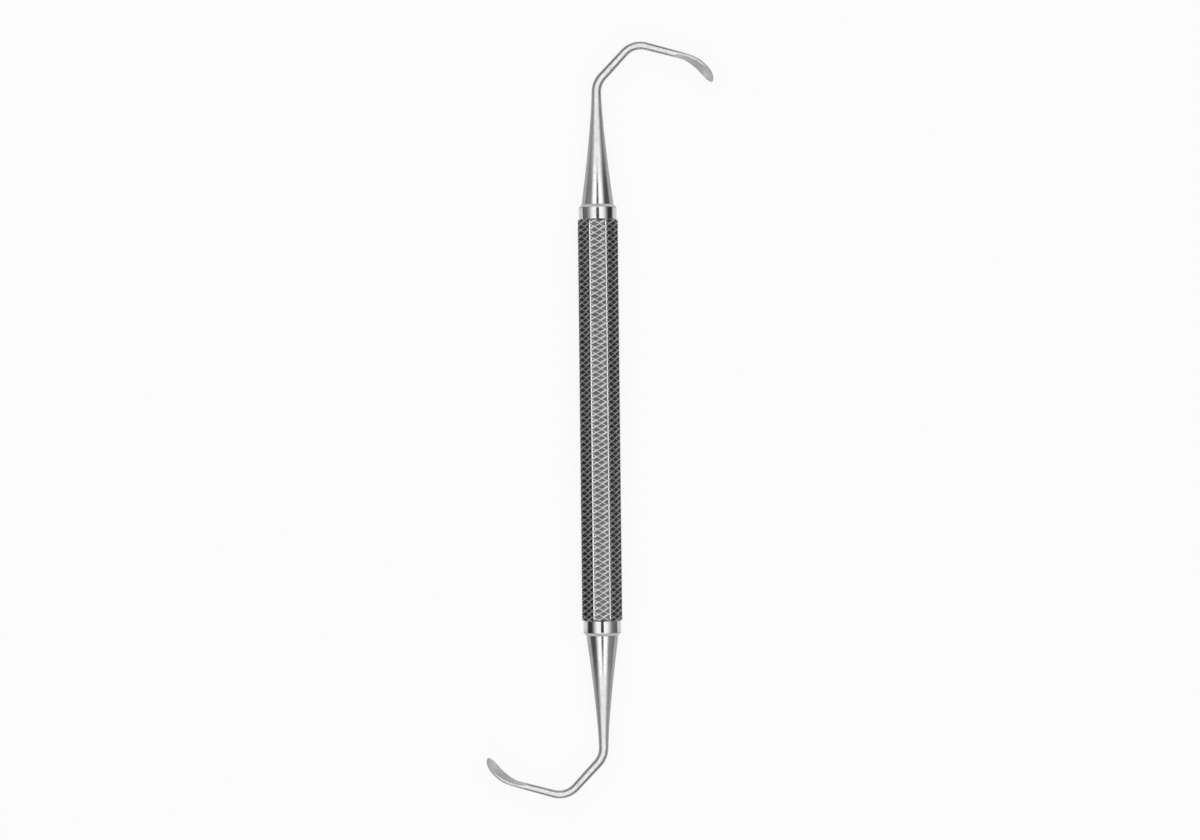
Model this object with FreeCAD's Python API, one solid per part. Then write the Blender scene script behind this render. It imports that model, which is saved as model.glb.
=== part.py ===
# Sinus lift curette: a double-ended hand instrument of polished steel.
# A hollow octagonal handle with a round collar at each end carries a working
# end pressed into each collar. Each working end is a flared cone that runs out
# into a slender shank, bent twice, with a ground curette blade at its tip.
# Frame: the handle lies along Y and rests on one flat at Z = 0, with the
# origin under its middle. The upper end points to +Y and hooks towards +X.
# The lower end is the upper one turned half a turn about Z.
# Lengths are in millimetres and angles in degrees.
import FreeCAD, Part
import math
import os
from FreeCAD import Placement, Rotation, Vector

# Handle
HANDLE_LENGTH = 95.0
GRIP_ACROSS_FLATS = 9.0
GRIP_CORNER_RISE = 0.3
COLLAR_LENGTH = 3.2
COLLAR_CHAMFER = 0.635
SEAT_WIDTH = 0.45
BORE_LEAD_IN = 0.3
FLATS = 8

# Cone and tang of a working end
CONE_BASE_DIAMETER = 7.1
CONE_LENGTH = 24.75
CONE_BASE_SLOPE = 0.143
CONE_BASE_PULL = 13.2
CONE_TIP_PULL = 2.7
TANG_LENGTH = 12.0
TANG_CLEARANCE = 0.02
TANG_CHAMFER = 0.5

# Shank
SHANK_ROOT_DIAMETER = 2.1
ELBOW_DIAMETER = 1.78
NECK_DIAMETER = 1.54
FIRST_BEND = 43.2
FIRST_BEND_RADIUS = 5.0
DIAGONAL_RUN = 7.15
SECOND_BEND = 62.0
SECOND_BEND_RADIUS = 4.9
LAST_RUN = 6.37

# Blade
BLADE_LENGTH = 10.9
BLADE_STRAIGHT = 1.45
BLADE_CURVE_RADIUS = 10.6
BLADE_WIDTH = 2.33
BLADE_DEPTH = 1.8
WIDENING_START = 1.9
WIDENING_LENGTH = 4.1
TOE_LENGTH = 3.7
THINNING_LENGTH = 4.4
TOE_THINNING = 0.45
TOE_RIM = 0.05
FACE_HEIGHT = 0.48
FACE_TILT_HEEL = 42.0
FACE_TILT_TOE = 8.0
TWIST_START = 5.9
TWIST_LENGTH = 3.9
FACE_RUNOUT_LENGTH = 1.85
FACE_RUNOUT_RADIUS = 6.2

# Values that follow from the sizes above
BORE_DIAMETER = CONE_BASE_DIAMETER - 2 * SEAT_WIDTH
COLLAR_DIAMETER = CONE_BASE_DIAMETER + 2 * COLLAR_CHAMFER
GRIP_LENGTH = HANDLE_LENGTH - 2 * COLLAR_LENGTH
CORNER_RADIUS = GRIP_ACROSS_FLATS / 2 + GRIP_CORNER_RISE
FLAT_WIDTH = GRIP_ACROSS_FLATS * math.tan(math.pi / FLATS)
AXIS_HEIGHT = GRIP_ACROSS_FLATS / 2
SHOULDER_Y = HANDLE_LENGTH / 2

# Steps and tolerances of the curved forms
OVERSHOOT = 0.5
FUSE_TOLERANCE = 0.0005
SECTION_POINTS = 12
BLADE_STEPS = 7
TOE_STEPS = 6
WHEEL_STEPS = 12
Y_AXIS = Vector(0, 1, 0)
Z_AXIS = Vector(0, 0, 1)


def revolve_about_axis(points, curve=None):
    """Solid turned about the Y axis from (radius, y) corners.

    The closed outline joins the corners in order. A curve, where given,
    replaces the straight line from the last corner back to the first.
    """
    corners = [Vector(radius, y, 0) for radius, y in points]
    edges = [Part.LineSegment(a, b).toShape() for a, b in zip(corners, corners[1:])]
    if curve is None:
        edges.append(Part.LineSegment(corners[-1], corners[0]).toShape())
    else:
        edges.append(curve)
    outline = Part.Wire(Part.__sortEdges__(edges))
    return Part.Face(outline).revolve(Vector(0, 0, 0), Y_AXIS, 360)


def octagonal_bar():
    """Plain octagonal bar with one flat square to +Z, on the Y axis."""
    corner = GRIP_ACROSS_FLATS / 2 / math.cos(math.pi / FLATS)
    turns = [2 * math.pi * (k + 0.5) / FLATS for k in range(FLATS)]
    points = [Vector(corner * math.sin(a), -GRIP_LENGTH / 2, corner * math.cos(a)) for a in turns]
    section = Part.Face(Part.makePolygon(points + points[:1]))
    return section.extrude(Vector(0, GRIP_LENGTH, 0))


def turned_grip():
    """Envelope that rounds the bar's corners and chamfers its two ends."""
    end = GRIP_LENGTH / 2
    chamfer = CORNER_RADIUS - COLLAR_DIAMETER / 2
    profile = [
        (0, -end),
        (CORNER_RADIUS - chamfer, -end),
        (CORNER_RADIUS, -end + chamfer),
        (CORNER_RADIUS, end - chamfer),
        (CORNER_RADIUS - chamfer, end),
        (0, end),
    ]
    return revolve_about_axis(profile)


def turned_collars():
    """The round bar that shows as a chamfered collar at each end."""
    collar = COLLAR_DIAMETER / 2
    profile = [
        (0, -SHOULDER_Y),
        (collar - COLLAR_CHAMFER, -SHOULDER_Y),
        (collar, -SHOULDER_Y + COLLAR_CHAMFER),
        (collar, SHOULDER_Y - COLLAR_CHAMFER),
        (collar - COLLAR_CHAMFER, SHOULDER_Y),
        (0, SHOULDER_Y),
    ]
    return revolve_about_axis(profile)


def bore():
    """The hole right through the handle, with a lead-in at each mouth."""
    radius = BORE_DIAMETER / 2
    mouth = SHOULDER_Y
    profile = [
        (0, -mouth),
        (radius + BORE_LEAD_IN, -mouth),
        (radius, -mouth + BORE_LEAD_IN),
        (radius, mouth - BORE_LEAD_IN),
        (radius + BORE_LEAD_IN, mouth),
        (0, mouth),
    ]
    return revolve_about_axis(profile)


def make_handle():
    """Octagonal grip with turned corners, collars and bore, lying on one flat."""
    body = octagonal_bar().common(turned_grip())
    body = body.fuse(turned_collars()).cut(bore()).removeSplitter()
    body.translate(Vector(0, 0, AXIS_HEIGHT))
    return body


def cone_outline():
    """The cone's side as one smooth curve that ends along the shank."""
    base = CONE_BASE_DIAMETER / 2
    tip = SHANK_ROOT_DIAMETER / 2
    curve = Part.BezierCurve()
    curve.setPoles([
        Vector(base, 0, 0),
        Vector(base - CONE_BASE_SLOPE * CONE_BASE_PULL, CONE_BASE_PULL, 0),
        Vector(tip, CONE_LENGTH - CONE_TIP_PULL, 0),
        Vector(tip, CONE_LENGTH, 0),
    ])
    return curve.toShape()


def cone_and_tang():
    """The turned stretch: tang in the handle, seat on the collar, flared cone."""
    tang = (BORE_DIAMETER - TANG_CLEARANCE) / 2
    profile = [
        (CONE_BASE_DIAMETER / 2, 0),
        (tang, 0),
        (tang, TANG_CHAMFER - TANG_LENGTH),
        (tang - TANG_CHAMFER, -TANG_LENGTH),
        (0, -TANG_LENGTH),
        (0, CONE_LENGTH),
        (SHANK_ROOT_DIAMETER / 2, CONE_LENGTH),
    ]
    return revolve_about_axis(profile, cone_outline())


class Route:
    """A round bar that is drawn forwards in one plane, run by run and bend by bend."""

    def __init__(self, start, heading):
        self.point = start
        self.heading = heading
        self.pieces = []

    def forward(self, heading=None):
        """Unit vector along the path."""
        angle = math.radians(self.heading if heading is None else heading)
        return Vector(math.cos(angle), math.sin(angle), 0)

    def outward(self, heading=None):
        """Unit vector square to the path, away from the inside of its bends."""
        ahead = self.forward(heading)
        return Vector(-ahead.y, ahead.x, 0)

    def run(self, length, start_diameter, end_diameter):
        """Go straight on with a tapering piece."""
        piece = Part.makeCone(start_diameter / 2, end_diameter / 2, length, self.point, self.forward())
        self.pieces.append(piece)
        self.point = self.point + self.forward() * length

    def bend(self, angle, radius, diameter):
        """Turn clockwise through an angle with a piece of even thickness."""
        ring = Part.Circle(self.point, self.forward(), diameter / 2).toShape()
        centre = self.point - self.outward() * radius
        self.pieces.append(Part.Face(Part.Wire(ring)).revolve(centre, Z_AXIS, -angle))
        self.point = self.on_arc(angle, radius)
        self.heading -= angle

    def on_arc(self, angle, radius):
        """Point that a clockwise arc from here reaches after an angle."""
        centre = self.point - self.outward() * radius
        return centre + self.outward(self.heading - angle) * radius


def make_shank():
    """Round shank with two bends, from the cone's tip to the blade's neck."""
    route = Route(Vector(0, CONE_LENGTH, 0), 90)
    route.bend(FIRST_BEND, FIRST_BEND_RADIUS, SHANK_ROOT_DIAMETER)
    route.run(DIAGONAL_RUN, SHANK_ROOT_DIAMETER, ELBOW_DIAMETER)
    route.bend(SECOND_BEND, SECOND_BEND_RADIUS, ELBOW_DIAMETER)
    route.run(LAST_RUN, ELBOW_DIAMETER, NECK_DIAMETER)
    return route


def blend(position, start, length):
    """Smooth step from 0 to 1 over a length that begins at start."""
    share = min(max((position - start) / length, 0), 1)
    return share * share * (3 - 2 * share)


class Blade:
    """The curette blade, along its own centreline from the neck."""

    def __init__(self, route):
        self.neck = route
        self.arc = Route(route.point + route.forward() * BLADE_STRAIGHT, route.heading)

    def frame(self, along):
        """Centre, direction, crosswise and face-normal vectors at a distance."""
        if along <= BLADE_STRAIGHT:
            centre = self.neck.point + self.neck.forward() * along
            heading = self.neck.heading
        else:
            turn = math.degrees((along - BLADE_STRAIGHT) / BLADE_CURVE_RADIUS)
            centre = self.arc.on_arc(turn, BLADE_CURVE_RADIUS)
            heading = self.neck.heading - turn
        untwist = blend(along, TWIST_START, TWIST_LENGTH)
        tilt = math.radians(FACE_TILT_HEEL + (FACE_TILT_TOE - FACE_TILT_HEEL) * untwist)
        outward = self.neck.outward(heading)
        across = outward * math.cos(tilt) + Z_AXIS * math.sin(tilt)
        face_normal = Z_AXIS * math.cos(tilt) - outward * math.sin(tilt)
        return centre, self.neck.forward(heading), across, face_normal

    def rounding(self, along):
        """Share of the full width that the rounded toe leaves."""
        toe = max(along - (BLADE_LENGTH - TOE_LENGTH), 0) / TOE_LENGTH
        return math.sqrt(max(1 - toe * toe, 0))

    def half_width(self, along):
        """Half the blank's width, along the face."""
        neck = NECK_DIAMETER / 2
        widening = blend(along, WIDENING_START, WIDENING_LENGTH)
        return (neck + (BLADE_WIDTH / 2 - neck) * widening) * self.rounding(along)

    def half_depth(self, along):
        """Half the blank's depth, square to the face."""
        neck = NECK_DIAMETER / 2
        widening = blend(along, WIDENING_START, WIDENING_LENGTH)
        thinning = 1 - TOE_THINNING * blend(along, BLADE_LENGTH - THINNING_LENGTH, THINNING_LENGTH)
        return (neck + (BLADE_DEPTH / 2 - neck) * widening) * thinning * self.rounding(along)

    def rise(self, along):
        """How far the blank's middle rises to the face as the toe gets thin."""
        if along < BLADE_LENGTH - THINNING_LENGTH:
            return 0
        return (FACE_HEIGHT - TOE_RIM) * (1 - 2 * self.half_depth(along) / BLADE_DEPTH)

    def section(self, along):
        """Oval outline of the blank at a distance from the neck."""
        centre, _, across, normal = self.frame(along)
        centre = centre + normal * self.rise(along)
        half_width = self.half_width(along)
        half_depth = self.half_depth(along)
        points = []
        for k in range(SECTION_POINTS):
            turn = 2 * math.pi * k / SECTION_POINTS
            points.append(centre + across * (half_width * math.cos(turn)) + normal * (half_depth * math.sin(turn)))
        outline = Part.BSplineCurve()
        knots = [float(k) for k in range(SECTION_POINTS + 1)]
        outline.interpolate(Points=points, PeriodicFlag=True, Parameters=knots)
        return Part.Wire(outline.toShape())

    def blank(self):
        """The oval bar that swells from the neck and closes in a rounded toe."""
        body_length = BLADE_LENGTH - TOE_LENGTH
        stations = [body_length * k / BLADE_STEPS for k in range(BLADE_STEPS + 1)]
        for k in range(1, TOE_STEPS):
            stations.append(body_length + TOE_LENGTH * math.sin(math.pi / 2 * k / TOE_STEPS))
        centre, _, _, normal = self.frame(BLADE_LENGTH)
        tip = Part.Vertex(centre + normal * self.rise(BLADE_LENGTH))
        return Part.makeLoft([self.section(s) for s in stations] + [tip], True, False)

    def face_height(self, along):
        """Height of the ground face over the blank's middle line."""
        lift = max(FACE_RUNOUT_LENGTH - along, 0)
        return FACE_HEIGHT + lift * lift / (2 * FACE_RUNOUT_RADIUS)

    def grinding_wheel(self):
        """What the wheel takes off: all that stands over the ground face."""
        start = -NECK_DIAMETER
        length = BLADE_LENGTH + OVERSHOOT - start
        outlines = []
        for k in range(WHEEL_STEPS + 1):
            along = start + length * k / WHEEL_STEPS
            centre, _, across, normal = self.frame(along)
            reach = across * BLADE_WIDTH
            low = centre + normal * self.face_height(along)
            high = low + normal * BLADE_DEPTH
            corners = [low - reach, low + reach, high + reach, high - reach]
            outlines.append(Part.makePolygon(corners + corners[:1]))
        return Part.makeLoft(outlines, True, False)


def make_working_end():
    """Cone, shank and blade in one piece, at the upper end of the handle."""
    shank = make_shank()
    blade = Blade(shank)
    body = cone_and_tang().fuse(shank.pieces + [blade.blank()], FUSE_TOLERANCE)
    body = body.cut(blade.grinding_wheel())
    body.translate(Vector(0, SHOULDER_Y, AXIS_HEIGHT))
    return body


def save(name, shape):
    """Write one node as a STEP file."""
    solids = shape.Solids
    if len(solids) != 1 or not shape.isValid():
        raise ValueError(f"{name} is not one valid solid")
    solids[0].exportStep(f"parts/{name}.step")


def main():
    """Build the pieces and write them."""
    os.makedirs("parts", exist_ok=True)
    upper = make_working_end()
    lower = upper.copy()
    lower.Placement = Placement(Vector(0, 0, 0), Rotation(Z_AXIS, 180)).multiply(upper.Placement)
    save("handle", make_handle())
    save("working_end_upper", upper)
    save("working_end_lower", lower)


main()
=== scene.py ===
"""Looks of a double-ended sinus lift curette of polished steel.

The handle lies along Y on one of its flats. Each end carries a turned cone, a
twice-bent shank and a ground curette blade. Sizes are in millimetres in the
classes below and become metres where a mesh is made.
"""

from __future__ import annotations

import logging
import math
from dataclasses import dataclass
from enum import Enum
from typing import Any, Callable

import bmesh
import bpy
from mathutils import Matrix, Vector

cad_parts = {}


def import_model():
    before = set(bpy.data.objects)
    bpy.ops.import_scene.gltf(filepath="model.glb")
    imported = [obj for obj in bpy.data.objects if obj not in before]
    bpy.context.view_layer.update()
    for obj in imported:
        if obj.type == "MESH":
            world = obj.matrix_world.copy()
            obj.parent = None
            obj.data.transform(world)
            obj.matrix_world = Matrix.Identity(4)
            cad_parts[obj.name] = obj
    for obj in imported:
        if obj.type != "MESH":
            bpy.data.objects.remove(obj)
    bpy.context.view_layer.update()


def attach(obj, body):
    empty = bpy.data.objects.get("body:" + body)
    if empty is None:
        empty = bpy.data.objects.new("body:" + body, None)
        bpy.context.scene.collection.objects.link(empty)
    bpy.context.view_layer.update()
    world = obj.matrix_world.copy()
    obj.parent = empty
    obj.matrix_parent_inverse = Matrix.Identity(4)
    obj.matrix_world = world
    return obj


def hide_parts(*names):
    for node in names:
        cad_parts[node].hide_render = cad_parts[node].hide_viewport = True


MM = 0.001
AXIS_HEIGHT = 4.5
MERGE_DISTANCE = 1e-7
NEAR = 1e-6
SEAM_DISTANCE = 2e-6
SHARP_EDGE = 25.0

log = logging.getLogger("curette")


class End(Enum):
    """The two ends of the instrument, by their turn about Z."""

    UPPER = 0.0
    LOWER = math.pi


class Slot(Enum):
    """Material slots of the record."""

    HANDLE = "handle_steel"
    WORKING_END = "working_end_steel"


class GripFace(Enum):
    """Kinds of face on the grip, by their material's place on the mesh."""

    DIAMOND = 0
    GROOVE = 1
    LAND = 2


# Shader maths


class Channel:
    """One value of a shader, used in sums as a plain number would be."""

    def __init__(self, bench: Bench, socket: bpy.types.NodeSocket) -> None:
        """Wrap a socket.

        Args:
            bench: The node bench that the socket is on.
            socket: An output socket.
        """
        self.bench = bench
        self.socket = socket

    def maths(self, operation: str, *values: Any) -> Channel:
        """Add one Math node.

        Args:
            operation: The node's operation.
            values: Numbers or channels, in the node's own order.

        Returns:
            The node's result.
        """
        inputs = dict(enumerate(values))
        return self.bench.value("ShaderNodeMath", {"operation": operation}, inputs)

    def __add__(self, other: Any) -> Channel:
        """Sum."""
        return self.maths("ADD", self, other)

    def __radd__(self, other: Any) -> Channel:
        """Sum, reflected."""
        return self.maths("ADD", other, self)

    def __sub__(self, other: Any) -> Channel:
        """Difference."""
        return self.maths("SUBTRACT", self, other)

    def __rsub__(self, other: Any) -> Channel:
        """Difference, reflected."""
        return self.maths("SUBTRACT", other, self)

    def __mul__(self, other: Any) -> Channel:
        """Product."""
        return self.maths("MULTIPLY", self, other)

    def __rmul__(self, other: Any) -> Channel:
        """Product, reflected."""
        return self.maths("MULTIPLY", other, self)

    def __truediv__(self, other: Any) -> Channel:
        """Quotient."""
        return self.maths("DIVIDE", self, other)

    def __abs__(self) -> Channel:
        """Distance from zero."""
        return self.maths("ABSOLUTE", self)

    def lean_from(self, upright: Channel) -> Channel:
        """How far a direction leans over, in degrees.

        Args:
            upright: The direction's upright part, where this is its level part.

        Returns:
            The angle from straight up, from 0 to 90.
        """
        height = self.maths("MAXIMUM", upright, 1e-4)
        return self.maths("ARCTANGENT", abs(self) / height) * math.degrees(1.0)

    def ramp(self, start: float, end: float, low: float = 0.0, high: float = 1.0) -> Channel:
        """Go smoothly from one value to another.

        Args:
            start: Where the change begins.
            end: Where the change is complete.
            low: The result up to start.
            high: The result from end on.

        Returns:
            The smoothed value.
        """
        inputs = {"Value": self, "From Min": start, "From Max": end, "To Min": low, "To Max": high}
        return self.bench.value("ShaderNodeMapRange", {"interpolation_type": "SMOOTHSTEP"}, inputs)


class Bench:
    """A node tree that is built from plain calls."""

    def __init__(self, tree: bpy.types.NodeTree) -> None:
        """Clear a tree to work on.

        Args:
            tree: The tree of a material or of the world.
        """
        self.tree = tree
        tree.nodes.clear()

    def node(self, kind: str, settings: dict[str, Any], inputs: dict[Any, Any]) -> bpy.types.Node:
        """Add a node.

        Args:
            kind: The node's type.
            settings: Values of its own settings, which are set first.
            inputs: Numbers, tuples or links for its sockets, by name or place.

        Returns:
            The new node.
        """
        node = self.tree.nodes.new(kind)
        for name, value in settings.items():
            setattr(node, name, value)
        for key, value in inputs.items():
            target = node.inputs[key]
            if isinstance(value, Channel):
                value = value.socket
            if isinstance(value, bpy.types.NodeSocket):
                self.tree.links.new(value, target)
            else:
                target.default_value = value
        return node

    def value(self, kind: str, settings: dict[str, Any], inputs: dict[Any, Any]) -> Channel:
        """Add a node and take its first output as a value.

        Args:
            kind: The node's type.
            settings: Values of its own settings.
            inputs: Numbers, tuples or links for its sockets.

        Returns:
            The output as a channel.
        """
        return Channel(self, self.node(kind, settings, inputs).outputs[0])

    def place(self, stretch: tuple[float, float, float]) -> bpy.types.NodeSocket:
        """Object coordinates in millimetres, stretched along each axis.

        Args:
            stretch: Scale along X, Y and Z.

        Returns:
            The vector socket.
        """
        where = self.node("ShaderNodeTexCoord", {}, {}).outputs["Object"]
        scale = tuple(s / MM for s in stretch)
        return self.node("ShaderNodeMapping", {}, {"Vector": where, "Scale": scale}).outputs["Vector"]

    def off_axis(self, axis: str) -> Channel:
        """Distance from the object's middle along one axis, in millimetres."""
        spot = self.node("ShaderNodeSeparateXYZ", {}, {"Vector": self.place((1.0, 1.0, 1.0))})
        return abs(Channel(self, spot.outputs[axis]))

    def noise(self, stretch: tuple[float, float, float], detail: float) -> Channel:
        """Fractal noise with a grain of about a millimetre over stretch.

        Args:
            stretch: Scale along X, Y and Z.
            detail: How many finer layers there are.

        Returns:
            The noise, from 0 to 1.
        """
        inputs = {"Vector": self.place(stretch), "Scale": 1.0, "Detail": detail}
        return self.value("ShaderNodeTexNoise", {}, inputs)

    def mix(self, share: Any, first: Any, second: tuple[float, ...]) -> bpy.types.NodeSocket:
        """Mix two colours.

        Args:
            share: How much of the second one there is.
            first: A linear colour or a colour socket.
            second: A linear colour.

        Returns:
            The colour socket.
        """
        first = (*first, 1.0) if isinstance(first, tuple) else first
        inputs = {0: share, 6: first, 7: (*second, 1.0)}
        return self.node("ShaderNodeMix", {"data_type": "RGBA"}, inputs).outputs[2]


# Finishes, some with painted light and shade


@dataclass(frozen=True)
class Drift:
    """A slow change along X or Y, the same way out on both ends, of a finish or of painted light and shade.
    """

    axis: str
    start: float
    end: float
    colour: tuple[float, float, float] | None = None
    roughness: float = 0.0
    metal: float = 0.0

    def share(self, bench: Bench) -> Channel:
        """How far the change has come at a place.

        Args:
            bench: The node bench of the material.

        Returns:
            0 before the start and 1 past the end.
        """
        return bench.off_axis(self.axis).ramp(self.start, self.end)


@dataclass(frozen=True)
class SteelFinishAndPaintedLight:
    """A bare steel surface with its marks of turning, polishing or grinding, and in some kinds painted
    light and shade in its colour.
    """

    name: str
    light: tuple[float, float, float] = (0.63, 0.63, 0.635)
    dark: tuple[float, float, float] = (0.57, 0.57, 0.575)
    metal: float = 1.0
    smoothest: float = 0.09
    roughest: float = 0.14
    grain: tuple[float, float, float] = (3.0, 0.4, 3.0)
    cloud: tuple[float, float, float] = (0.5, 0.5, 0.5)
    cloud_share: float = 0.4
    contrast: tuple[float, float] = (0.35, 0.65)
    relief: float = 0.05
    relief_depth: float = 0.004
    drifts: tuple[Drift, ...] = ()

    def material(self) -> bpy.types.Material:
        """Make the material.

        Returns:
            The new material.
        """
        material = bpy.data.materials.new(self.name)
        material.use_nodes = True
        bench = Bench(material.node_tree)
        grain = bench.noise(self.grain, detail=3.0)
        cloud = bench.noise(self.cloud, detail=2.0)
        tone = (grain * (1.0 - self.cloud_share) + cloud * self.cloud_share).ramp(*self.contrast)
        colour = bench.mix(tone, self.dark, self.light)
        roughness = tone.ramp(0.0, 1.0, self.roughest, self.smoothest)
        metal: Any = self.metal
        for drift in self.drifts:
            share = drift.share(bench)
            roughness = roughness + share * drift.roughness
            metal = share * drift.metal + metal
            if drift.colour:
                colour = bench.mix(share, colour, drift.colour)
        inputs = {"Strength": self.relief, "Distance": self.relief_depth * MM, "Height": grain}
        bump = bench.node("ShaderNodeBump", {}, inputs).outputs["Normal"]
        inputs = {"Base Color": colour, "Metallic": metal, "Roughness": roughness, "Normal": bump}
        surface = bench.node("ShaderNodeBsdfPrincipled", {}, inputs)
        bench.node("ShaderNodeOutputMaterial", {}, {"Surface": surface.outputs[0]})
        return material


TURNED_STEEL = SteelFinishAndPaintedLight("turned_steel", smoothest=0.07, roughest=0.11)
# Painted highlight: the chamfer ring is near-white and half diffuse, so that it shows as a pale line.
CHAMFER_PAINTED_HIGHLIGHT = SteelFinishAndPaintedLight(
    "chamfer_painted_highlight_steel",
    light=(0.94, 0.94, 0.945),
    dark=(0.88, 0.88, 0.885),
    metal=0.55,
    smoothest=0.16,
    roughest=0.2,
)
# Painted highlight: the corner lands are near-white, so that they show as bright lines.
LAND_PAINTED_HIGHLIGHT = SteelFinishAndPaintedLight(
    "corner_land_painted_highlight_steel",
    light=(0.95, 0.95, 0.95),
    dark=(0.88, 0.88, 0.88),
    smoothest=0.22,
    roughest=0.3,
)
SHANK_STEEL = SteelFinishAndPaintedLight(
    "shank_steel",
    light=(0.8, 0.8, 0.805),
    dark=(0.7, 0.7, 0.705),
    metal=0.93,
    smoothest=0.1,
    roughest=0.15,
    grain=(2.5, 1.0, 2.5),
    relief=0.03,
    drifts=(
        Drift("Y", 48.5, 62.0, roughness=0.27, metal=-0.08),
        Drift("Y", 68.0, 76.0, metal=0.15),
        # Painted highlight: from X 15 mm outward the shank's last run turns near-white and partly diffuse.
        Drift("X", 15.0, 20.5, colour=(0.96, 0.96, 0.96), roughness=0.08, metal=-0.3),
    ),
)
# Painted shade: the diamond tops are far darker than bare steel.
FLAT_PAINTED_SHADE = SteelFinishAndPaintedLight(
    "knurled_flat_painted_shade_steel",
    light=(0.2, 0.205, 0.205),
    dark=(0.1, 0.105, 0.105),
    smoothest=0.24,
    roughest=0.34,
    grain=(4.0, 4.0, 4.0),
    relief=0.08,
)
# Painted light: the groove walls are paler and partly diffuse; their higher roughness is the knurl's own.
GROOVE_PAINTED_LIGHT = SteelFinishAndPaintedLight(
    "knurl_groove_painted_light_steel",
    light=(0.64, 0.64, 0.645),
    dark=(0.52, 0.52, 0.525),
    metal=0.72,
    smoothest=0.34,
    roughest=0.44,
    grain=(6.0, 6.0, 6.0),
    relief=0.1,
)
GROUND_STEEL = SteelFinishAndPaintedLight(
    "ground_face_steel",
    light=(0.76, 0.76, 0.765),
    dark=(0.54, 0.54, 0.545),
    metal=0.35,
    smoothest=0.5,
    roughest=0.62,
    grain=(5.0, 5.0, 5.0),
    cloud=(1.6, 1.6, 1.6),
    relief=0.35,
    relief_depth=0.01,
    drifts=(
        Drift("X", 21.0, 18.4, colour=(0.93, 0.93, 0.93), roughness=-0.16, metal=0.15),
        # Painted shade: the ground face darkens towards the toe.
        Drift("X", 22.4, 27.2, colour=(0.4, 0.4, 0.405)),
    ),
)


# Studio


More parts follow.
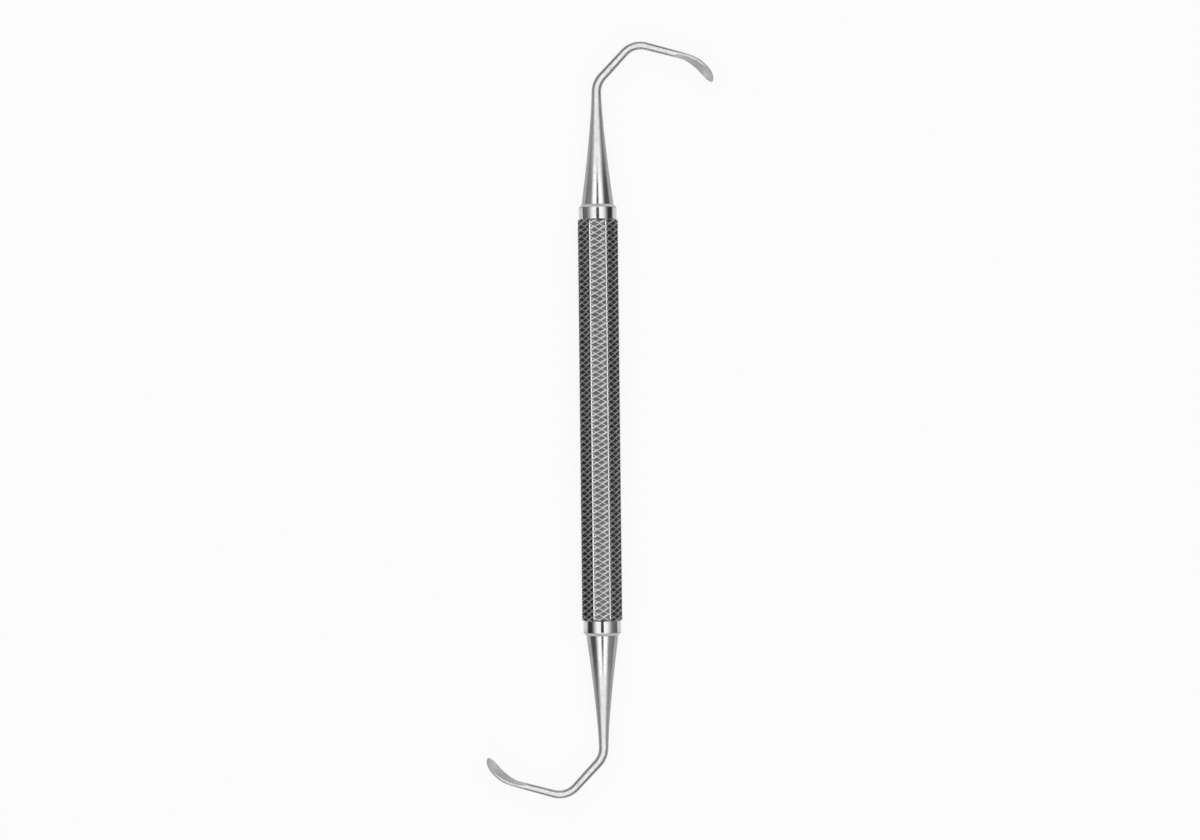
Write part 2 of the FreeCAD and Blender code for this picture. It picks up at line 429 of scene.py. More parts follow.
@dataclass
class Studio:
    """Camera, floor and the soft light over the instrument.

    Places on the floor are in millimetres from the middle, as reflections see it.
    Places on the ceiling are degrees from straight up. The fills are in metres.
    """

    focal_length: float = 150.0
    sensor_width: float = 36.0
    frame_width: float = 264.5
    roll: float = 0.65
    floor_size: float = 6.0
    floor_white: float = 0.95
    shade_kept: float = 0.1
    sheet_near: float = 14.0
    sheet_far: float = 60.0
    sheet_dim: float = 0.06
    sheet_collar: float = 46.0
    sheet_cone: float = 50.0
    sheet_ends: float = 0.46
    ceiling_light: float = 1.5
    horizon_light: float = 0.05
    ceiling_start: float = 24.0
    ceiling_end: float = 70.0
    along_free: float = 15.0
    along_share: float = 0.8
    slit: float = 9.0
    slit_edge: float = 1.2
    slit_collar: tuple[float, float] = (4.4, 5.2)
    slit_cone: tuple[float, float] = (12.5, 16.0)
    slit_length: float = 23.0
    fill_light: float = 0.17
    fill_size: tuple[float, float] = (0.24, 0.2)
    fill_place: tuple[float, float, float] = (-0.3, 0.14, 0.1)

    def add_camera(self) -> None:
        """Put the camera square above the instrument, as in the photograph."""
        lens = bpy.data.cameras.new("camera")
        lens.lens = self.focal_length
        lens.sensor_width = self.sensor_width
        camera = bpy.data.objects.new("camera", lens)
        distance = self.frame_width * self.focal_length / self.sensor_width
        camera.location = (0.0, 0.0, (distance + AXIS_HEIGHT) * MM)
        camera.rotation_euler = (0.0, 0.0, math.radians(-self.roll))
        bpy.context.scene.collection.objects.link(camera)
        bpy.context.scene.camera = camera

    def add_floor(self) -> None:
        """Lay a white floor that keeps a trace of the shadow."""
        bpy.ops.mesh.primitive_plane_add(size=self.floor_size)
        floor = bpy.context.object
        floor.name = "floor"
        material = bpy.data.materials.new("white_floor")
        material.use_nodes = True
        bench = Bench(material.node_tree)
        path = bench.node("ShaderNodeLightPath", {}, {}).outputs
        camera = Channel(bench, path["Is Camera Ray"])
        seen = camera.maths("MAXIMUM", camera, path["Is Glossy Ray"])
        seen = seen.maths("MAXIMUM", seen, path["Is Transmission Ray"])
        sheet = bench.off_axis("X").ramp(self.sheet_near, self.sheet_far, 1.0, self.sheet_dim)
        sheet = sheet * bench.off_axis("Y").ramp(self.sheet_collar, self.sheet_cone, 1.0, self.sheet_ends)
        white = (self.floor_white, self.floor_white, self.floor_white, 1.0)
        paper = bench.node("ShaderNodeBsdfDiffuse", {}, {"Color": white})
        strength = camera.maths("MAXIMUM", camera, sheet)
        glow = bench.node("ShaderNodeEmission", {}, {"Color": (1.0, 1.0, 1.0, 1.0), "Strength": strength})
        inputs = {0: seen * (1.0 - self.shade_kept), 1: paper.outputs[0], 2: glow.outputs[0]}
        surface = bench.node("ShaderNodeMixShader", {}, inputs)
        bench.node("ShaderNodeOutputMaterial", {}, {"Surface": surface.outputs[0]})
        floor.data.materials.append(material)

    def add_sky(self) -> None:
        """Light from a broad soft ceiling with a slit for the lens."""
        world = bpy.data.worlds.new("studio")
        world.use_nodes = True
        bpy.context.scene.world = world
        bench = Bench(world.node_tree)
        aim = bench.node("ShaderNodeTexCoord", {}, {}).outputs["Generated"]
        parts = bench.node("ShaderNodeSeparateXYZ", {}, {"Vector": aim})
        sideways, lengthwise, up = (Channel(bench, parts.outputs[k]) for k in range(3))
        sideways = sideways.lean_from(up)
        lengthwise = lengthwise.lean_from(up)
        stretched = (lengthwise - self.along_free) * self.along_share
        off_middle = sideways + stretched.maths("MAXIMUM", stretched, 0.0)
        ceiling = off_middle.ramp(self.ceiling_start, self.ceiling_end, 1.0, 0.0)
        beside = sideways.ramp(self.slit - self.slit_edge, self.slit + self.slit_edge)
        past_collar = lengthwise.ramp(*self.slit_collar)
        past_cone = lengthwise.ramp(*self.slit_cone, 1.0, 0.0)
        beyond = lengthwise.ramp(self.slit_length - self.slit_edge, self.slit_length + self.slit_edge)
        lit = past_collar.maths("MINIMUM", past_collar, past_cone)
        lit = lit.maths("MAXIMUM", lit, beyond)
        ceiling = ceiling * beside.maths("MAXIMUM", beside, lit)
        strength = ceiling * (self.ceiling_light - self.horizon_light) + self.horizon_light
        direct = Channel(bench, bench.node("ShaderNodeLightPath", {}, {}).outputs["Is Camera Ray"])
        strength = strength * (1.0 - direct) + direct
        glow = bench.node("ShaderNodeBackground", {}, {"Strength": strength})
        glow.inputs["Color"].default_value = (1.0, 1.0, 1.0, 1.0)
        bench.node("ShaderNodeOutputWorld", {}, {"Surface": glow.outputs[0]})

    def add_fills(self) -> None:
        """Stand a weak side light by each end."""
        for end in End:
            light = bpy.data.lights.new(f"fill_{end.name.lower()}", "AREA")
            light.shape = "RECTANGLE"
            light.size, light.size_y = self.fill_size
            light.energy = self.fill_light * math.pi * light.size * light.size_y
            lamp = bpy.data.objects.new(light.name, light)
            lamp.visible_camera = False
            turn = Matrix.Rotation(end.value, 4, "Z")
            place = Matrix.Translation(self.fill_place)
            facing = Matrix.Rotation(math.radians(-90), 4, "Y")
            lamp.matrix_world = turn @ place @ facing
            bpy.context.scene.collection.objects.link(lamp)

    def build(self) -> None:
        """Set up everything that isn't the instrument."""
        bpy.context.scene.view_settings.view_transform = "Standard"
        self.add_camera()
        self.add_floor()
        self.add_sky()
        self.add_fills()


# Modelling


def deselect_all() -> None:
    """Leave no object selected."""
    bpy.ops.object.select_all(action="DESELECT")


def make_active(piece: bpy.types.Object) -> None:
    """Select one object alone.

    Args:
        piece: The object to select.
    """
    deselect_all()
    piece.select_set(True)
    bpy.context.view_layer.objects.active = piece


def to_metres(point: Any) -> Vector:
    """A point in millimetres as Blender has it."""
    return Vector(point) * MM


def start_vertex(name: str, place: Vector) -> bpy.types.Object:
    """Begin a mesh with a single vertex and stay in edit mode.

    Args:
        name: The object's name.
        place: Where the vertex is, in metres.

    Returns:
        The new object.
    """
    deselect_all()
    bpy.ops.mesh.primitive_plane_add(size=MM)
    piece = bpy.context.object
    piece.name = name
    piece.data.name = name
    bpy.ops.object.mode_set(mode="EDIT")
    bpy.ops.mesh.select_all(action="SELECT")
    bpy.ops.mesh.merge(type="CENTER")
    bpy.ops.transform.translate(value=place)
    return piece


def turn_profile(name: str, profile: list[tuple[float, float]], steps: int) -> bpy.types.Object:
    """Turn a profile about the instrument's axis, as on a lathe.

    Args:
        name: The object's name.
        profile: Corners as (radius, y) in millimetres.
        steps: How many steps the turn has.

    Returns:
        The turned mesh, in object mode.
    """
    points = [to_metres((radius, y, AXIS_HEIGHT)) for radius, y in profile]
    piece = start_vertex(name, points[0])
    for here, there in zip(points, points[1:]):
        bpy.ops.mesh.extrude_vertices_move(TRANSFORM_OT_translate={"value": there - here})
    bpy.ops.mesh.select_all(action="SELECT")
    bpy.ops.mesh.spin(steps=steps, angle=2 * math.pi, center=to_metres((0, 0, AXIS_HEIGHT)), axis=(0, 1, 0))
    close_up()
    bpy.ops.object.mode_set(mode="OBJECT")
    return piece


def close_up(distance: float = MERGE_DISTANCE) -> None:
    """Merge doubles and turn all faces outwards, in edit mode.

    Args:
        distance: How near doubles are, in metres.
    """
    bpy.ops.mesh.select_all(action="SELECT")
    bpy.ops.mesh.remove_doubles(threshold=distance)
    bpy.ops.mesh.normals_make_consistent(inside=False)


def select_vertices(piece: bpy.types.Object, wanted: Callable[[Vector], bool]) -> None:
    """Select the vertices that a test picks, in edit mode.

    Args:
        piece: The object in edit mode.
        wanted: Takes a vertex's place in metres.
    """
    bpy.ops.mesh.select_all(action="DESELECT")
    shape = bmesh.from_edit_mesh(piece.data)
    for vertex in shape.verts:
        if wanted(vertex.co):
            vertex.select_set(True)
    shape.select_flush_mode()
    bmesh.update_edit_mesh(piece.data)


def join(pieces: list[bpy.types.Object], name: str) -> bpy.types.Object:
    """Join objects into the first of them.

    Args:
        pieces: The objects.
        name: The name of the result.

    Returns:
        The joined object.
    """
    make_active(pieces[0])
    for piece in pieces[1:]:
        piece.select_set(True)
    bpy.ops.object.join()
    whole = bpy.context.object
    whole.name = name
    whole.data.name = name
    return whole


def finish_piece(piece: bpy.types.Object, node: str) -> None:
    """Shade a piece, hand it to the frame and let it stand for its node.

    Args:
        piece: The finished object.
        node: The node that it stands for.
    """
    make_active(piece)
    bpy.ops.object.transform_apply(location=True, rotation=True, scale=True)
    bpy.ops.object.shade_smooth_by_angle(angle=math.radians(SHARP_EDGE))
    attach(piece, "root")
    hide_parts(node)
    log.info("%s: %d faces", piece.name, len(piece.data.polygons))


# Handle


@dataclass
class KnurledHandle:
    """The octagonal grip with its diamond knurl and turned collars.

    The knurl's lattice has a diamond at each whole count of columns and rows, with
    its two families of grooves halfway between. Its shares are parts of a cell.
    """

    length: float = 95.0
    collar_length: float = 3.2
    collar_radius: float = 4.185
    collar_chamfer: float = 0.635
    across_flats: float = 9.0
    corner_radius: float = 4.8
    flats: int = 8
    cell_across: float = 2.306
    cell_along: float = 1.33
    first_column: float = 0.36
    first_row: float = -0.1
    rising_share: float = 0.32
    falling_share: float = 0.29
    groove_slope: float = 0.75
    runout: float = 0.09
    steps: int = 96
    joint_relief: float = 0.05
    edge_guard: float = 0.15
    edge_round: float = 0.02
    hidden_length: float = 0.25
    tile_reach: int = 4
    chamfer_cuts: tuple[float, ...] = (0.33, 0.51, 0.75, 1.0)

    def grip_end(self) -> float:
        """Half the grip's length."""
        return self.length / 2 - self.collar_length

    def flat_edge(self) -> float:
        """Half the width of a flat."""
        return math.sqrt(self.corner_radius**2 - (self.across_flats / 2) ** 2)

    def panel_edge(self) -> float:
        """Half the width of a panel, which takes in the grooves' run-out."""
        return self.flat_edge() + self.runout

    def lattice(self, column: float, row: float) -> tuple[float, float]:
        """Place of a point of the lattice on a flat.

        Args:
            column: Count along the first family of grooves.
            row: Count along the second one.

        Returns:
            Its x and y in millimetres.
        """
        x = self.first_column + (column - row) * self.cell_across / 2
        y = (column + row) * self.cell_along / 2
        return x, y

    def sink(self, x: float, y: float, depth: float) -> Vector:
        """Lay a place of the level panel on the knurled bar with its end chamfers.

        Args:
            x: Distance from the flat's middle.
            y: Place along the handle.
            depth: Depth of the knurl there.

        Returns:
            The place in metres, over the axis.
        """
        beyond = (abs(x) - self.flat_edge()) / self.runout
        fade = min(max(1.0 - beyond, 0.0), 1.0)
        land = math.sqrt(self.corner_radius**2 - x * x)
        height = min(self.across_flats / 2, land) - depth * fade
        room = self.collar_radius + self.grip_end() - abs(y)
        squeeze = min(room / math.hypot(x, height), 1.0)
        return to_metres((x * squeeze, y, height * squeeze))

    def stops(self, share: float) -> list[float]:
        """Lattice counts at which a groove has an edge or its bottom.

        Args:
            share: How much of a cell one family of grooves takes.

        Returns:
            The counts, from low to high.
        """
        half = share / 2
        cells = range(-self.tile_reach, self.tile_reach)
        return [k + 0.5 + side for k in cells for side in (-half, 0.0, half)]

    def off_bottom(self, count: float) -> float:
        """How far a lattice count is from the nearest groove's bottom."""
        return abs(count - math.floor(count) - 0.5)

    def tile(self) -> bpy.types.Object:
        """One repeat of the knurl, wider than a flat and still level.

        Returns:
            The tile, in object mode.
        """
        columns = self.stops(self.falling_share)
        rows = self.stops(self.rising_share)
        count = len(columns)
        deselect_all()
        bpy.ops.mesh.primitive_grid_add(x_subdivisions=count - 1, y_subdivisions=count - 1, size=1.0)
        piece = bpy.context.object
        kinds = []
        for vertex in piece.data.vertices:
            column = columns[vertex.index % count]
            row = rows[vertex.index // count]
            kinds.append(sum(self.off_bottom(k) < NEAR for k in (column, row)))
            vertex.co = to_metres((*self.lattice(column, row), 0.0))
        self.fold_crossings(piece, kinds)
        return piece

    def fold_crossings(self, piece: bpy.types.Object, kinds: list[int]) -> None:
        """Split each face where two grooves cross from its rim to the shared bottom.

        Args:
            piece: The tile.
            kinds: For each vertex, how many grooves have their bottom there.
        """
        shape = bmesh.new()
        shape.from_mesh(piece.data)
        shape.verts.ensure_lookup_table()
        for face in list(shape.faces):
            rims = [v for v in face.verts if kinds[v.index] == 0]
            bottoms = [v for v in face.verts if kinds[v.index] == 2]
            if len(rims) == 1 and len(bottoms) == 1:
                bmesh.utils.face_split(face, rims[0], bottoms[0])
        shape.to_mesh(piece.data)
        shape.free()

    def cut(self, place: Vector, normal: Vector, clear: bool = False) -> None:
        """Cut the mesh in edit mode along a plane.

        Args:
            place: A point of the plane, in metres.
            normal: The plane's normal.
            clear: Whether the side that the normal points to is removed.
        """
        bpy.ops.mesh.select_all(action="SELECT")
        bpy.ops.mesh.bisect(plane_co=place, plane_no=normal, clear_outer=clear, threshold=MERGE_DISTANCE)

    def panel(self, half_row: bool, steels: list[bpy.types.Material]) -> bpy.types.Object:
        """One whole knurled flat up to the turned lands on its two sides.

        Args:
            half_row: Whether the knurl is moved along by half a repeat.
            steels: Materials of the diamonds, the grooves and the corners.

        Returns:
            The panel, over the axis and square to +Z.
        """
        piece = self.tile()
        for steel in steels:
            piece.data.materials.append(steel)
        bpy.ops.object.mode_set(mode="EDIT")
        start = to_metres((0, -self.grip_end() - self.cell_along, 0))
        step = to_metres((0, self.cell_along, 0))
        low = to_metres((0, -self.cell_along / 2, 0))
        self.cut(low, Vector((0, -1, 0)), True)
        self.cut(low + step, Vector((0, 1, 0)), True)
        for side in (-1, 1):
            normal = Vector((side, 0, 0))
            self.cut(normal * self.panel_edge() * MM, normal, True)
            self.cut(normal * self.flat_edge() * MM, normal)
        bpy.ops.object.mode_set(mode="OBJECT")
        rows = math.ceil(self.grip_end() / self.cell_along) + 2
        for vertex in piece.data.vertices:
            vertex.co.y -= step.y * (rows - 0.5 * half_row)
        repeat = piece.modifiers.new("rows", "ARRAY")
        repeat.count = 2 * rows
        repeat.use_relative_offset = False
        repeat.use_constant_offset = True
        repeat.constant_offset_displace = step
        repeat.use_merge_vertices = True
        repeat.merge_threshold = NEAR
        bpy.ops.object.modifier_apply(modifier=repeat.name)
        self.trim_and_sink(piece, half_row)
        return piece

    def trim_and_sink(self, piece: bpy.types.Object, half_row: bool) -> None:
        """Cut a panel to length and give the knurl its depth.

        Args:
            piece: The level panel.
            half_row: Whether the knurl is moved along by half a repeat.
        """
        bpy.ops.object.mode_set(mode="EDIT")
        chamfer = self.corner_radius - self.collar_radius
        for side in (-1, 1):
            normal = Vector((0, side, 0))
            self.cut(normal * self.grip_end() * MM, normal, True)
            for share in self.chamfer_cuts:
                self.cut(normal * (self.grip_end() - chamfer * share) * MM, normal)
        bpy.ops.object.mode_set(mode="OBJECT")
        shift = self.first_row + (self.cell_along / 2 if half_row else 0.0)
        self.sort_faces(piece, shift)
        for vertex in piece.data.vertices:
            x, y, _ = vertex.co / MM
            vertex.co = self.sink(x, y, self.depth_at(x, y - shift))

    def sort_faces(self, piece: bpy.types.Object, shift: float) -> None:
        """Give each face of a level panel the material of its kind.

        Args:
            piece: The panel.
            shift: Where the first row of diamonds is along the panel.
        """
        for face in piece.data.polygons:
            middle = face.center / MM
            if self.depth_at(middle.x, middle.y - shift) > NEAR:
                face.material_index = GripFace.GROOVE.value
            elif abs(middle.x) > self.flat_edge():
                face.material_index = GripFace.LAND.value
            else:
                face.material_index = GripFace.DIAMOND.value

    def depth_at(self, x: float, y: float) -> float:
        """Depth of the knurl at a place on a flat.

        Args:
            x: Distance from the flat's middle.
            y: Distance along from the row's first diamond.

        Returns:
            The depth in millimetres.
        """
        across = (x - self.first_column) / self.cell_across
        along = y / self.cell_along
        depth = 0.0
        for count, share in ((along + across, self.falling_share), (along - across, self.rising_share)):
            depth = max(depth, self.groove_slope * (share / 2 - self.off_bottom(count)))
        return depth

    def grip(self, steels: list[bpy.types.Material]) -> bpy.types.Object:
        """All knurled flats round the axis with the lands between them, closed at both ends.

        Args:
            steels: Materials of the diamonds, the grooves and the corners.

        Returns:
            The grip.
        """
        panels = []
        for half_row in (False, True):
            first = self.panel(half_row, steels)
            for turn in range(int(half_row), self.flats, 2):
                copy = bpy.data.objects.new("flat", first.data.copy())
                bpy.context.scene.collection.objects.link(copy)
                spin = Matrix.Rotation(2 * math.pi * turn / self.flats, 4, "Y")
                copy.data.transform(Matrix.Translation(to_metres((0, 0, AXIS_HEIGHT))) @ spin)
                panels.append(copy)
            bpy.data.objects.remove(first)
        whole = join(panels, "grip")
        bpy.ops.object.mode_set(mode="EDIT")
        bpy.ops.mesh.select_all(action="SELECT")
        bpy.ops.mesh.remove_doubles(threshold=SEAM_DISTANCE)
        self.bridge_corners(whole)
        for side in (-1, 1):
            end = self.grip_end() * MM * side
            select_vertices(whole, lambda co: abs(co.y - end) < NEAR)
            bpy.ops.mesh.edge_face_add()
        bpy.ops.mesh.select_all(action="SELECT")
        bpy.ops.mesh.normals_make_consistent(inside=False)
        bpy.ops.object.mode_set(mode="OBJECT")
        return whole

    def bridge_corners(self, whole: bpy.types.Object) -> None:
        """Lay the turned land between each two panels, in edit mode.

        Args:
            whole: The grip with its panels still apart.
        """
        whole.active_material_index = GripFace.LAND.value
        bpy.ops.mesh.select_mode(type="EDGE")
        for turn in range(self.flats):
            corner = math.pi / self.flats * (2 * turn + 1)
            bpy.ops.mesh.select_all(action="DESELECT")
            shape = bmesh.from_edit_mesh(whole.data)
            for edge in shape.edges:
                if edge.is_boundary and self.beside_land(edge, corner):
                    edge.select_set(True)
            bmesh.update_edit_mesh(whole.data)
            bpy.ops.mesh.bridge_edge_loops()
            bpy.ops.object.material_slot_assign()
        bpy.ops.mesh.select_mode(type="VERT")

    def beside_land(self, edge: bmesh.types.BMEdge, corner: float) -> bool:
        """Whether an edge of a panel runs along the land at one corner.

        Args:
            edge: The edge.
            corner: The corner's angle from straight up, in radians.

        Returns:
            Whether it does.
        """
        spot = (edge.verts[0].co + edge.verts[1].co) / 2
        along = abs(edge.verts[0].co.y - edge.verts[1].co.y) > MERGE_DISTANCE
        angle = math.atan2(spot.x, spot.z - AXIS_HEIGHT * MM)
        away = (angle - corner + math.pi) % (2 * math.pi) - math.pi
        return along and abs(away) < math.pi / self.flats / 2

    def collar(self, side: int, steels: list[bpy.types.Material]) -> bpy.types.Object:
        """The turned collar at one end of the grip.

        Args:
            side: 1 for the upper end and -1 for the lower one.
            steels: Materials of the turned surface and of the chamfer, whose steel carries a painted
                highlight.

        Returns:
            The collar, closed and partly inside the grip.
        """
        end = self.length / 2
        hidden = self.grip_end() - self.hidden_length
        relief = self.joint_relief
        seat = self.collar_radius - self.collar_chamfer
        profile = [
            (0.0, hidden),
            (self.collar_radius, hidden),
            (self.collar_radius, end - self.collar_chamfer - self.edge_guard),
            (self.collar_radius, end - self.collar_chamfer - relief),
            (self.collar_radius - self.edge_round, end - self.collar_chamfer + self.edge_round),
            (seat + relief, end - relief),
            (seat - relief, end),
            (0.0, end),
        ]
        piece = turn_profile("collar", [(radius, y * side) for radius, y in profile], self.steps)
        for steel in steels:
            piece.data.materials.append(steel)
        for face in piece.data.polygons:
            # The chamfer's faces take the near-white steel of the painted highlight.
            face.material_index = int(abs(face.center.y) > (end - self.collar_chamfer) * MM)
        return piece

    def build(self) -> bpy.types.Object:
        """Make and dress the handle.

        Returns:
            The handle.
        """
        # The knurl's materials paint shade on the diamonds, light in the grooves and a highlight on the
        # lands.
        grip = self.grip([steel.material() for steel in (FLAT_PAINTED_SHADE, GROOVE_PAINTED_LIGHT, LAND_PAINTED_HIGHLIGHT)])
        steels = [steel.material() for steel in (TURNED_STEEL, CHAMFER_PAINTED_HIGHLIGHT)]
        collars = [self.collar(side, steels) for side in (-1, 1)]
        handle = join([grip, *collars], "knurled_handle")
        finish_piece(handle, "handle")
        return handle


# Working ends


@dataclass
class WorkingEnd:
    """Tang, flared cone, twice-bent shank and ground blade in one piece.

    Bends and tilts are in degrees. The blade's places are distances from the neck.
    """

    end: End
    shoulder: float = 47.5
    tang_radius: float = 3.09
    tang_length: float = 12.0
    tang_chamfer: float = 0.5
    base_radius: float = 3.55
    base_slope: float = 0.143
    base_pull: float = 13.2
    tip_pull: float = 2.7
    cone_length: float = 24.75
    joint_relief: float = 0.05
    root_radius: float = 1.05
    neck_radius: float = 0.77
    first_bend: float = 43.2
    first_bend_radius: float = 5.0
    diagonal: float = 7.15
    second_bend: float = 62.0
    second_bend_radius: float = 4.9
    last_run: float = 6.37
    bend_step: float = 2.6
    blade_length: float = 10.9
    blade_straight: float = 1.45
    blade_curve: float = 10.6
    half_width: float = 1.165
    half_depth: float = 0.9
    widening_start: float = 1.9
    widening_length: float = 4.1
    toe_length: float = 3.7
    thinning_length: float = 4.4
    toe_thinning: float = 0.45
    toe_rim: float = 0.05
    face_height: float = 0.48
    tilt_heel: float = 42.0
    tilt_toe: float = 8.0
    twist_start: float = 5.9
    twist_length: float = 3.9
    runout_length: float = 1.85
    runout_radius: float = 6.2
    lead: float = 3.0
    around: int = 72
    over_face: int = 14
    seam_turn: float = 78.0
    heel_rings: int = 66
    toe_rings: int = 26
    cone_rings: int = 40
    cone_start: float = 0.0015
    steepest: float = 0.985

    def legs(self) -> list[tuple[float, float, float]]:
        """Each bend's angle and radius, with the straight run that follows it."""
        return [
            (self.first_bend, self.first_bend_radius, self.diagonal),
            (self.second_bend, self.second_bend_radius, self.last_run),
        ]

    def shank_length(self) -> float:
        """Length of the shank along its middle line."""
        return sum(math.radians(angle) * radius + run for angle, radius, run in self.legs())

    def shank_radius(self, left: float) -> float:
        """Radius of the shank by the distance that is left to the neck."""
        return self.neck_radius + (self.root_radius - self.neck_radius) * left / self.shank_length()

    def turned_profile(self) -> list[tuple[float, float]]:
        """Outline of the tang, the seat and the cone.

        Returns:
            Corners as (radius, y) in millimetres.
        """
        tang_end = self.shoulder - self.tang_length
        corners = [
            (0.0, tang_end),
            (self.tang_radius - self.tang_chamfer, tang_end),
            (self.tang_radius, tang_end + self.tang_chamfer),
            (self.tang_radius, self.shoulder - self.joint_relief),
            (self.base_radius - self.joint_relief * 2, self.shoulder),
        ]
        poles = (
            (self.base_radius, 0.0),
            (self.base_radius - self.base_slope * self.base_pull, self.base_pull),
            (self.root_radius, self.cone_length - self.tip_pull),
            (self.root_radius, self.cone_length),
        )
        for k in range(self.cone_rings + 1):
            t = max(k / self.cone_rings, self.cone_start)
            weights = ((1 - t) ** 3, 3 * t * (1 - t) ** 2, 3 * t * t * (1 - t), t**3)
            radius = sum(w * pole[0] for w, pole in zip(weights, poles))
            along = sum(w * pole[1] for w, pole in zip(weights, poles))
            corners.append((radius, self.shoulder + along))
        return corners

    def draw_shank(self, piece: bpy.types.Object) -> None:
        """Extrude the open tip of the cone along the shank.

        Args:
            piece: The turned body.
        """
        make_active(piece)
        bpy.ops.object.mode_set(mode="EDIT")
        tip = (self.shoulder + self.cone_length) * MM
        select_vertices(piece, lambda co: co.y > tip - NEAR)
        point = to_metres((0, self.shoulder + self.cone_length, AXIS_HEIGHT))
        heading = math.radians(90)
        left = self.shank_length()
        for angle, radius, run in self.legs():
            inward = Vector((math.sin(heading), -math.cos(heading), 0))
            centre = point + inward * radius * MM
            steps = math.ceil(angle / self.bend_step)
            part = math.radians(angle) / steps
            for _ in range(steps):
                heading -= part
                inward = Vector((math.sin(heading), -math.cos(heading), 0))
                point = centre - inward * radius * MM
                left = self.extrude_ring(left, part * radius, part, centre, point)
            run = min(run, left - self.lead)
            point = point + Vector((math.cos(heading), math.sin(heading), 0)) * run * MM
            left = self.extrude_ring(left, run, 0.0, centre, point)
        bpy.ops.object.mode_set(mode="OBJECT")

    def extrude_ring(self, left: float, step: float, turn: float, centre: Vector, place: Vector) -> float:
        """Carry the selected ring on by one step of a bend or by a straight run.

        Args:
            left: Length of shank that is left before the step.
            step: The step's length in millimetres.
            turn: Its turn in radians, clockwise, or 0 for a straight run.
            centre: The bend's centre.
            place: Where the ring's middle comes to lie.

        Returns:
            The length that is left after the step.
        """
        ratio = self.shank_radius(left - step) / self.shank_radius(left)
        bpy.ops.mesh.extrude_region_move()
        if turn:
            bpy.ops.transform.rotate(value=turn, orient_axis="Z", center_override=centre)
        else:
            ring = [v.co for v in bmesh.from_edit_mesh(bpy.context.object.data).verts if v.select]
            middle = sum(ring, Vector()) / len(ring)
            bpy.ops.transform.translate(value=place - middle)
        bpy.ops.transform.resize(value=(ratio, ratio, ratio), center_override=place)
        return left - step

    def blend(self, along: float, start: float, length: float) -> float:
        """Smooth step from 0 to 1 over a length that begins at start."""
        share = min(max((along - start) / length, 0.0), 1.0)
        return share * share * (3 - 2 * share)

    def rounding(self, along: float) -> float:
        """Share of the full width that the rounded toe leaves."""
        toe = max(along - (self.blade_length - self.toe_length), 0.0) / self.toe_length
        return math.sqrt(max(1 - toe * toe, 0.0))

    def section_halves(self, along: float) -> tuple[float, float]:
        """Size of the blank that the face is ground on.

        Args:
            along: Distance from the neck in millimetres.

        Returns:
            Half its width and half its depth.
        """
        neck = self.shank_radius(max(-along, 0.0))
        wide = self.blend(along, self.widening_start, self.widening_length)
        thin = self.blend(along, self.blade_length - self.thinning_length, self.thinning_length)
        across = neck + (self.half_width - neck) * wide
        deep = (neck + (self.half_depth - neck) * wide) * (1 - self.toe_thinning * thin)
        return across * self.rounding(along), deep * self.rounding(along)

    def blade_frame(self, along: float) -> tuple[Vector, Vector, Vector]:
        """How the blade lies, as it curves and untwists.

        Args:
            along: Distance from the neck in millimetres.

        Returns:
            The section's middle, its crosswise direction and the face's normal.
        """
        heading = math.radians(90 - self.first_bend - self.second_bend)
        ahead = Vector((math.cos(heading), math.sin(heading), 0))
        middle = self.neck() + ahead * min(along, self.blade_straight)
        turn = max(along - self.blade_straight, 0.0) / self.blade_curve
        inward = Vector((math.sin(heading), -math.cos(heading), 0))
        centre = middle + inward * self.blade_curve
        heading -= turn
        inward = Vector((math.sin(heading), -math.cos(heading), 0))
        middle = centre - inward * self.blade_curve
        untwist = self.blend(along, self.twist_start, self.twist_length)
        tilt = math.radians(self.tilt_heel + (self.tilt_toe - self.tilt_heel) * untwist)
        up = Vector((0, 0, 1))
        across = up * math.sin(tilt) - inward * math.cos(tilt)
        return middle, across, up * math.cos(tilt) + inward * math.sin(tilt)

    def neck(self) -> Vector:
        """Where the shank's middle line ends and the blade begins.

        Returns:
            The place in millimetres.
        """
        point = Vector((0, self.shoulder + self.cone_length, AXIS_HEIGHT))
        heading = math.radians(90)
        for angle, radius, run in self.legs():
            point = point + Vector((math.sin(heading), -math.cos(heading), 0)) * radius
            heading -= math.radians(angle)
            point = point - Vector((math.sin(heading), -math.cos(heading), 0)) * radius
            point = point + Vector((math.cos(heading), math.sin(heading), 0)) * run
        return point

    def blade_section(self, along: float) -> list[Vector]:
        """Outline of the ground blade at a distance from the neck.

        Args:
            along: Distance from the neck in millimetres.

        Returns:
            Points round the back from one edge of the face to the other, then over the face.
        """
        middle, across, normal = self.blade_frame(along)
        wide, deep = self.section_halves(along)
        lift = max(self.runout_length - along, 0.0)
        plane = self.face_height + lift * lift / (2 * self.runout_radius)
        if along > self.blade_length - self.thinning_length:
            rise = (self.face_height - self.toe_rim) * (1 - deep / self.half_depth)
            middle = middle + normal * rise
            plane -= rise
        corner = math.asin(min(plane / max(deep, NEAR), self.steepest))
        spread = min(max(-along / self.lead, 0.0), 1.0)
        round_back = self.around - self.over_face
        points = []
        for k in range(self.around + 1):
            if k < round_back:
                turn = corner - (math.pi + 2 * corner) * k / round_back
            else:
                over = (k - round_back) / self.over_face
                turn = math.acos(-math.cos(corner) * (1 - 2 * over)) - 2 * math.pi
            even = math.radians(self.seam_turn) - 2 * math.pi * k / self.around
            turn += (even - turn) * spread
            points.append((wide * math.cos(turn), min(deep * math.sin(turn), plane)))
        return [middle + across * x + normal * y for x, y in points]

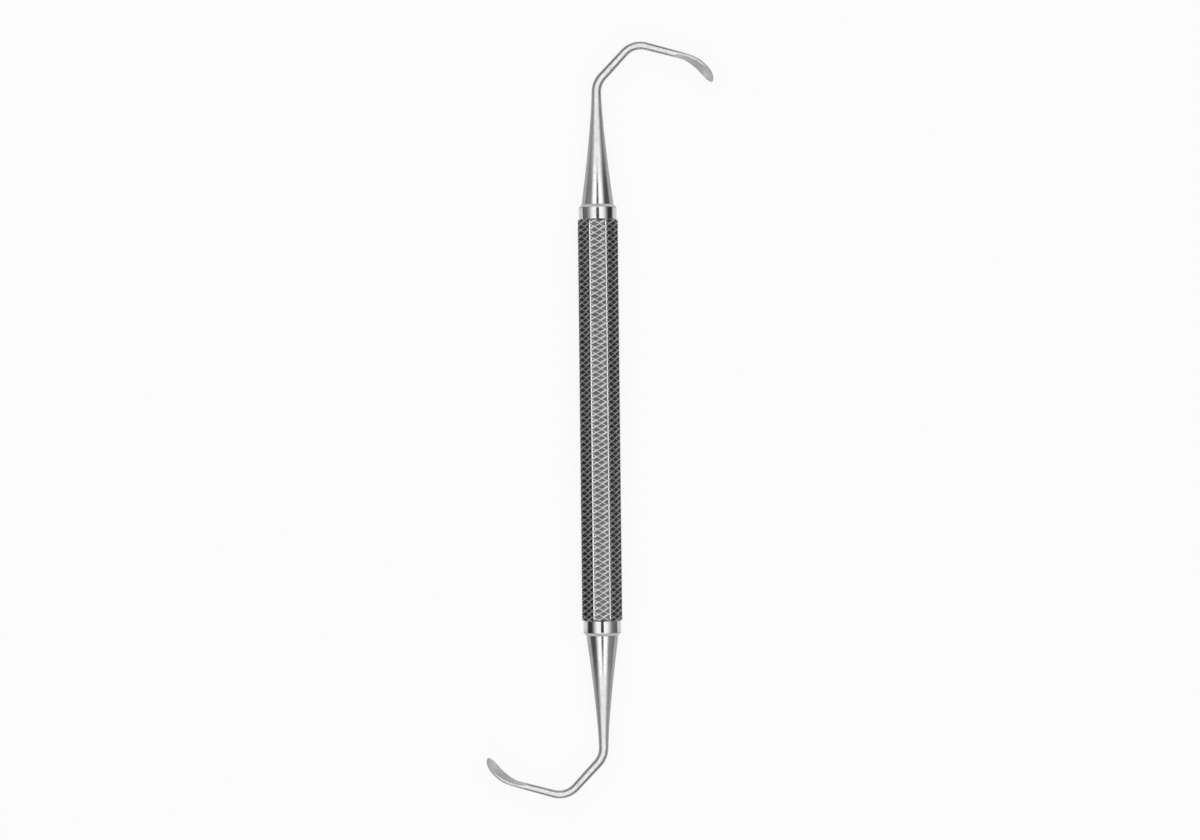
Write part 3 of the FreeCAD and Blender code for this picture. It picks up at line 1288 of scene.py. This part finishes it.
    def stations(self) -> list[float]:
        """Where the blade has its rings, which crowd together at the toe.

        Returns:
            Distances from the neck in millimetres.
        """
        body = self.blade_length - self.toe_length
        heel = [-self.lead + (body + self.lead) * k / self.heel_rings for k in range(self.heel_rings + 1)]
        turns = [math.pi / 2 * k / self.toe_rings for k in range(1, self.toe_rings + 1)]
        return heel + [body + self.toe_length * math.sin(turn) for turn in turns]

    def blade(self, steels: list[bpy.types.Material]) -> bpy.types.Object:
        """The ground blade, wrapped from a sheet and open at the neck.

        Args:
            steels: Materials of the back and the ground face.

        Returns:
            The blade, in object mode.
        """
        stations = self.stations()
        rings = len(stations) - 1
        deselect_all()
        bpy.ops.mesh.primitive_grid_add(x_subdivisions=self.around, y_subdivisions=rings, size=1.0)
        piece = bpy.context.object
        places = [point for along in stations for point in self.blade_section(along)]
        for vertex, place in zip(piece.data.vertices, places, strict=True):
            vertex.co = to_metres(place)
        for steel in steels:
            piece.data.materials.append(steel)
        for face in piece.data.polygons:
            ring, column = divmod(face.index, self.around)
            if column >= self.around - self.over_face and stations[ring] >= 0:
                face.material_index = 1
        bpy.ops.object.mode_set(mode="EDIT")
        close_up()
        bpy.ops.object.mode_set(mode="OBJECT")
        return piece

    def build(self) -> bpy.types.Object:
        """Make and dress the working end.

        Returns:
            The working end.
        """
        steels = [steel.material() for steel in (SHANK_STEEL, GROUND_STEEL)]
        body = turn_profile("turned_body", self.turned_profile(), self.around)
        body.data.materials.append(steels[0])
        self.draw_shank(body)
        whole = join([body, self.blade(steels)], f"curette_{self.end.name.lower()}")
        bpy.ops.object.mode_set(mode="EDIT")
        close_up(SEAM_DISTANCE)
        bpy.ops.object.mode_set(mode="OBJECT")
        whole.data.transform(Matrix.Rotation(self.end.value, 4, "Z"))
        finish_piece(whole, f"working_end_{self.end.name.lower()}")
        return whole


def main() -> None:
    """Load the frame and build each piece."""
    logging.basicConfig(level=logging.INFO, format="%(name)s: %(message)s")
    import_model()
    Studio().build()
    KnurledHandle().build()
    for end in End:
        WorkingEnd(end).build()


if __name__ == "__main__":
    main()
